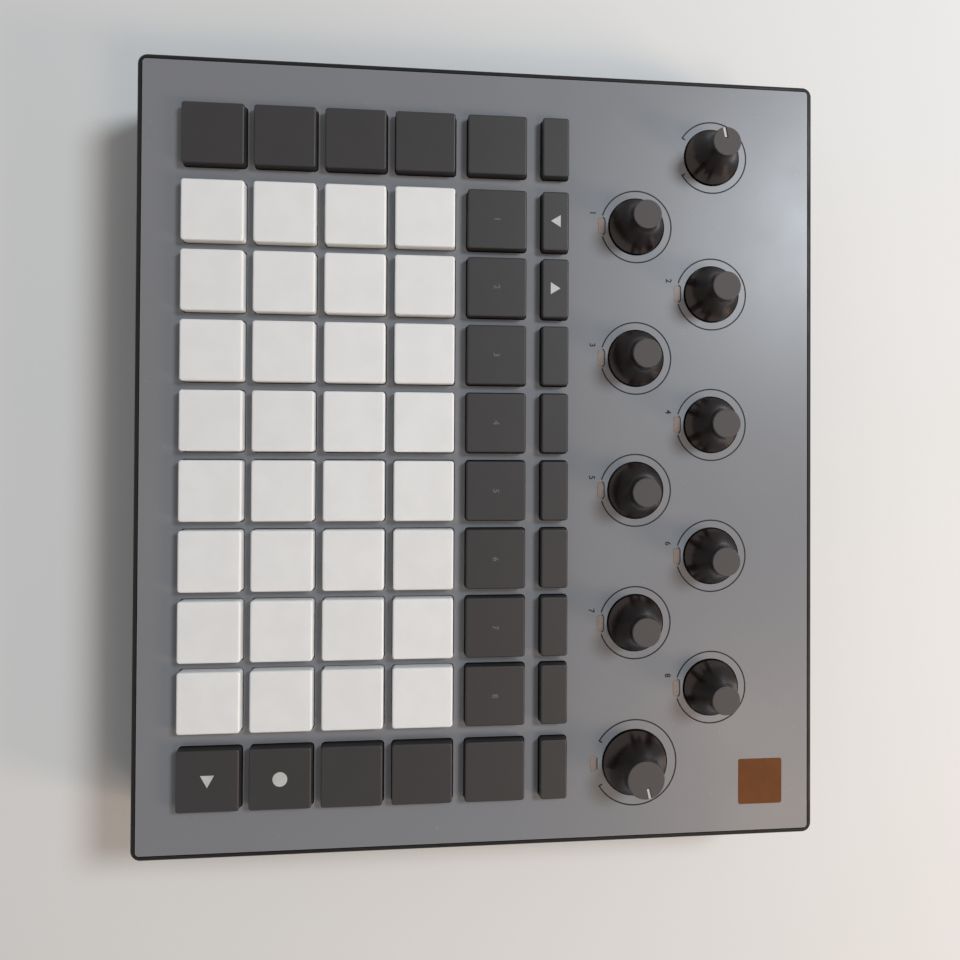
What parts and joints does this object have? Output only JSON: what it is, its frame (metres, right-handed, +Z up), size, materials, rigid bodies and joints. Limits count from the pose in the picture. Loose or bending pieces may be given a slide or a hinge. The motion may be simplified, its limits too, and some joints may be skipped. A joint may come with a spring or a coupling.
{
  "type": "drum machine",
  "caption": "Flat desktop drum machine with a grid of white pads, rows of dark keys, two staggered rows of flared knobs and rear sockets.",
  "frame": {"origin": "middle of the footprint, on the surface the rubber feet stand on", "axes": "+X to the player's right, +Y to the rear with the sockets, +Z up"},
  "size_m": [0.24, 0.21, 0.045],
  "materials": {
    "shell": "fine-grained matt black plastic",
    "panel": "satin grey printed panel",
    "feet": "matt black rubber",
    "screw_steel": "zinc-plated steel",
    "board": "green solder mask",
    "socket": "moulded black plastic",
    "port_metal": "stamped steel",
    "battery": "shrink-wrapped pack",
    "encoder": "stamped steel body",
    "window": "milky light window",
    "button": "smooth black plastic",
    "knob": "soft-touch charcoal cap on a satin black flare",
    "pad": "milky silicone",
    "key": "dark silicone"
  },
  "bodies": {
    "case": {"bottom_case": "shell", "top_case": "shell", "faceplate": "panel", "rubber_feet": "feet", "screws": "screw_steel", "key_board": "board", "main_board": "board", "jack_sockets": "socket", "data_sockets": "port_metal", "battery_pack": "battery", "encoder_bodies": "encoder", "light_windows": "window"},
    "volume_knob": {"volume_knob": "knob"},
    "encoder_knob_1": {"encoder_knob_1": "knob"},
    "encoder_knob_2": {"encoder_knob_2": "knob"},
    "encoder_knob_3": {"encoder_knob_3": "knob"},
    "encoder_knob_4": {"encoder_knob_4": "knob"},
    "encoder_knob_5": {"encoder_knob_5": "knob"},
    "encoder_knob_6": {"encoder_knob_6": "knob"},
    "encoder_knob_7": {"encoder_knob_7": "knob"},
    "encoder_knob_8": {"encoder_knob_8": "knob"},
    "filter_knob": {"filter_knob": "knob"},
    "pad_1_1": {"pad_1_1": "pad"},
    "pad_1_2": {"pad_1_2": "pad"},
    "pad_1_3": {"pad_1_3": "pad"},
    "pad_1_4": {"pad_1_4": "pad"},
    "pad_1_5": {"pad_1_5": "pad"},
    "pad_1_6": {"pad_1_6": "pad"},
    "pad_1_7": {"pad_1_7": "pad"},
    "pad_1_8": {"pad_1_8": "pad"},
    "pad_2_1": {"pad_2_1": "pad"},
    "pad_2_2": {"pad_2_2": "pad"},
    "pad_2_3": {"pad_2_3": "pad"},
    "pad_2_4": {"pad_2_4": "pad"},
    "pad_2_5": {"pad_2_5": "pad"},
    "pad_2_6": {"pad_2_6": "pad"},
    "pad_2_7": {"pad_2_7": "pad"},
    "pad_2_8": {"pad_2_8": "pad"},
    "pad_3_1": {"pad_3_1": "pad"},
    "pad_3_2": {"pad_3_2": "pad"},
    "pad_3_3": {"pad_3_3": "pad"},
    "pad_3_4": {"pad_3_4": "pad"},
    "pad_3_5": {"pad_3_5": "pad"},
    "pad_3_6": {"pad_3_6": "pad"},
    "pad_3_7": {"pad_3_7": "pad"},
    "pad_3_8": {"pad_3_8": "pad"},
    "pad_4_1": {"pad_4_1": "pad"},
    "pad_4_2": {"pad_4_2": "pad"},
    "pad_4_3": {"pad_4_3": "pad"},
    "pad_4_4": {"pad_4_4": "pad"},
    "pad_4_5": {"pad_4_5": "pad"},
    "pad_4_6": {"pad_4_6": "pad"},
    "pad_4_7": {"pad_4_7": "pad"},
    "pad_4_8": {"pad_4_8": "pad"},
    "play_key": {"play_key": "key"},
    "record_key": {"record_key": "key"},
    "side_keys": {"side_keys": "key"},
    "track_keys": {"track_keys": "key"},
    "function_keys": {"function_keys": "key"},
    "power_button": {"power_button": "button"}
  },
  "joints": [
    {"name": "volume_knob_turn", "type": "hinge", "parent": "case", "child": "volume_knob", "pos_m": [-0.0957, 0.0715, 0.0324], "axis": [0, 0, -1], "range_deg": [-48, 252]},
    {"name": "encoder_knob_1_turn", "type": "hinge", "parent": "case", "child": "encoder_knob_1", "pos_m": [-0.0728, 0.047, 0.0324], "axis": [0, 0, -1], "continuous": true},
    {"name": "encoder_knob_2_turn", "type": "hinge", "parent": "case", "child": "encoder_knob_2", "pos_m": [-0.052, 0.0715, 0.0324], "axis": [0, 0, -1], "continuous": true},
    {"name": "encoder_knob_3_turn", "type": "hinge", "parent": "case", "child": "encoder_knob_3", "pos_m": [-0.0312, 0.047, 0.0324], "axis": [0, 0, -1], "continuous": true},
    {"name": "encoder_knob_4_turn", "type": "hinge", "parent": "case", "child": "encoder_knob_4", "pos_m": [-0.0104, 0.0715, 0.0324], "axis": [0, 0, -1], "continuous": true},
    {"name": "encoder_knob_5_turn", "type": "hinge", "parent": "case", "child": "encoder_knob_5", "pos_m": [0.0104, 0.047, 0.0324], "axis": [0, 0, -1], "continuous": true},
    {"name": "encoder_knob_6_turn", "type": "hinge", "parent": "case", "child": "encoder_knob_6", "pos_m": [0.0312, 0.0715, 0.0324], "axis": [0, 0, -1], "continuous": true},
    {"name": "encoder_knob_7_turn", "type": "hinge", "parent": "case", "child": "encoder_knob_7", "pos_m": [0.052, 0.047, 0.0324], "axis": [0, 0, -1], "continuous": true},
    {"name": "encoder_knob_8_turn", "type": "hinge", "parent": "case", "child": "encoder_knob_8", "pos_m": [0.0728, 0.0715, 0.0324], "axis": [0, 0, -1], "continuous": true},
    {"name": "filter_knob_turn", "type": "hinge", "parent": "case", "child": "filter_knob", "pos_m": [0.0957, 0.047, 0.0324], "axis": [0, 0, -1], "range_deg": [-227, 73]},
    {"name": "pad_1_1_press", "type": "slide", "parent": "case", "child": "pad_1_1", "axis": [0, 0, -1], "range_m": [0, 0.0016], "stiffness_N_per_m": 300, "springref_m": -0.001},
    {"name": "pad_1_2_press", "type": "slide", "parent": "case", "child": "pad_1_2", "axis": [0, 0, -1], "range_m": [0, 0.0016], "stiffness_N_per_m": 300, "springref_m": -0.001},
    {"name": "pad_1_3_press", "type": "slide", "parent": "case", "child": "pad_1_3", "axis": [0, 0, -1], "range_m": [0, 0.0016], "stiffness_N_per_m": 300, "springref_m": -0.001},
    {"name": "pad_1_4_press", "type": "slide", "parent": "case", "child": "pad_1_4", "axis": [0, 0, -1], "range_m": [0, 0.0016], "stiffness_N_per_m": 300, "springref_m": -0.001},
    {"name": "pad_1_5_press", "type": "slide", "parent": "case", "child": "pad_1_5", "axis": [0, 0, -1], "range_m": [0, 0.0016], "stiffness_N_per_m": 300, "springref_m": -0.001},
    {"name": "pad_1_6_press", "type": "slide", "parent": "case", "child": "pad_1_6", "axis": [0, 0, -1], "range_m": [0, 0.0016], "stiffness_N_per_m": 300, "springref_m": -0.001},
    {"name": "pad_1_7_press", "type": "slide", "parent": "case", "child": "pad_1_7", "axis": [0, 0, -1], "range_m": [0, 0.0016], "stiffness_N_per_m": 300, "springref_m": -0.001},
    {"name": "pad_1_8_press", "type": "slide", "parent": "case", "child": "pad_1_8", "axis": [0, 0, -1], "range_m": [0, 0.0016], "stiffness_N_per_m": 300, "springref_m": -0.001},
    {"name": "pad_2_1_press", "type": "slide", "parent": "case", "child": "pad_2_1", "axis": [0, 0, -1], "range_m": [0, 0.0016], "stiffness_N_per_m": 300, "springref_m": -0.001},
    {"name": "pad_2_2_press", "type": "slide", "parent": "case", "child": "pad_2_2", "axis": [0, 0, -1], "range_m": [0, 0.0016], "stiffness_N_per_m": 300, "springref_m": -0.001},
    {"name": "pad_2_3_press", "type": "slide", "parent": "case", "child": "pad_2_3", "axis": [0, 0, -1], "range_m": [0, 0.0016], "stiffness_N_per_m": 300, "springref_m": -0.001},
    {"name": "pad_2_4_press", "type": "slide", "parent": "case", "child": "pad_2_4", "axis": [0, 0, -1], "range_m": [0, 0.0016], "stiffness_N_per_m": 300, "springref_m": -0.001},
    {"name": "pad_2_5_press", "type": "slide", "parent": "case", "child": "pad_2_5", "axis": [0, 0, -1], "range_m": [0, 0.0016], "stiffness_N_per_m": 300, "springref_m": -0.001},
    {"name": "pad_2_6_press", "type": "slide", "parent": "case", "child": "pad_2_6", "axis": [0, 0, -1], "range_m": [0, 0.0016], "stiffness_N_per_m": 300, "springref_m": -0.001},
    {"name": "pad_2_7_press", "type": "slide", "parent": "case", "child": "pad_2_7", "axis": [0, 0, -1], "range_m": [0, 0.0016], "stiffness_N_per_m": 300, "springref_m": -0.001},
    {"name": "pad_2_8_press", "type": "slide", "parent": "case", "child": "pad_2_8", "axis": [0, 0, -1], "range_m": [0, 0.0016], "stiffness_N_per_m": 300, "springref_m": -0.001},
    {"name": "pad_3_1_press", "type": "slide", "parent": "case", "child": "pad_3_1", "axis": [0, 0, -1], "range_m": [0, 0.0016], "stiffness_N_per_m": 300, "springref_m": -0.001},
    {"name": "pad_3_2_press", "type": "slide", "parent": "case", "child": "pad_3_2", "axis": [0, 0, -1], "range_m": [0, 0.0016], "stiffness_N_per_m": 300, "springref_m": -0.001},
    {"name": "pad_3_3_press", "type": "slide", "parent": "case", "child": "pad_3_3", "axis": [0, 0, -1], "range_m": [0, 0.0016], "stiffness_N_per_m": 300, "springref_m": -0.001},
    {"name": "pad_3_4_press", "type": "slide", "parent": "case", "child": "pad_3_4", "axis": [0, 0, -1], "range_m": [0, 0.0016], "stiffness_N_per_m": 300, "springref_m": -0.001},
    {"name": "pad_3_5_press", "type": "slide", "parent": "case", "child": "pad_3_5", "axis": [0, 0, -1], "range_m": [0, 0.0016], "stiffness_N_per_m": 300, "springref_m": -0.001},
    {"name": "pad_3_6_press", "type": "slide", "parent": "case", "child": "pad_3_6", "axis": [0, 0, -1], "range_m": [0, 0.0016], "stiffness_N_per_m": 300, "springref_m": -0.001},
    {"name": "pad_3_7_press", "type": "slide", "parent": "case", "child": "pad_3_7", "axis": [0, 0, -1], "range_m": [0, 0.0016], "stiffness_N_per_m": 300, "springref_m": -0.001},
    {"name": "pad_3_8_press", "type": "slide", "parent": "case", "child": "pad_3_8", "axis": [0, 0, -1], "range_m": [0, 0.0016], "stiffness_N_per_m": 300, "springref_m": -0.001},
    {"name": "pad_4_1_press", "type": "slide", "parent": "case", "child": "pad_4_1", "axis": [0, 0, -1], "range_m": [0, 0.0016], "stiffness_N_per_m": 300, "springref_m": -0.001},
    {"name": "pad_4_2_press", "type": "slide", "parent": "case", "child": "pad_4_2", "axis": [0, 0, -1], "range_m": [0, 0.0016], "stiffness_N_per_m": 300, "springref_m": -0.001},
    {"name": "pad_4_3_press", "type": "slide", "parent": "case", "child": "pad_4_3", "axis": [0, 0, -1], "range_m": [0, 0.0016], "stiffness_N_per_m": 300, "springref_m": -0.001},
    {"name": "pad_4_4_press", "type": "slide", "parent": "case", "child": "pad_4_4", "axis": [0, 0, -1], "range_m": [0, 0.0016], "stiffness_N_per_m": 300, "springref_m": -0.001},
    {"name": "pad_4_5_press", "type": "slide", "parent": "case", "child": "pad_4_5", "axis": [0, 0, -1], "range_m": [0, 0.0016], "stiffness_N_per_m": 300, "springref_m": -0.001},
    {"name": "pad_4_6_press", "type": "slide", "parent": "case", "child": "pad_4_6", "axis": [0, 0, -1], "range_m": [0, 0.0016], "stiffness_N_per_m": 300, "springref_m": -0.001},
    {"name": "pad_4_7_press", "type": "slide", "parent": "case", "child": "pad_4_7", "axis": [0, 0, -1], "range_m": [0, 0.0016], "stiffness_N_per_m": 300, "springref_m": -0.001},
    {"name": "pad_4_8_press", "type": "slide", "parent": "case", "child": "pad_4_8", "axis": [0, 0, -1], "range_m": [0, 0.0016], "stiffness_N_per_m": 300, "springref_m": -0.001},
    {"name": "play_key_press", "type": "slide", "parent": "case", "child": "play_key", "axis": [0, 0, -1], "range_m": [0, 0.0016], "stiffness_N_per_m": 300, "springref_m": -0.001},
    {"name": "record_key_press", "type": "slide", "parent": "case", "child": "record_key", "axis": [0, 0, -1], "range_m": [0, 0.0016], "stiffness_N_per_m": 300, "springref_m": -0.001},
    {"name": "side_keys_press", "type": "slide", "parent": "case", "child": "side_keys", "axis": [0, 0, -1], "range_m": [0, 0.0016], "stiffness_N_per_m": 1800, "springref_m": -0.001},
    {"name": "track_keys_press", "type": "slide", "parent": "case", "child": "track_keys", "axis": [0, 0, -1], "range_m": [0, 0.0016], "stiffness_N_per_m": 3000, "springref_m": -0.001},
    {"name": "function_keys_press", "type": "slide", "parent": "case", "child": "function_keys", "axis": [0, 0, -1], "range_m": [0, 0.0016], "stiffness_N_per_m": 3000, "springref_m": -0.001},
    {"name": "power_button_press", "type": "slide", "parent": "case", "child": "power_button", "axis": [0, -1, 0], "range_m": [0, 0.001], "stiffness_N_per_m": 500, "springref_m": -0.001}
  ]
}
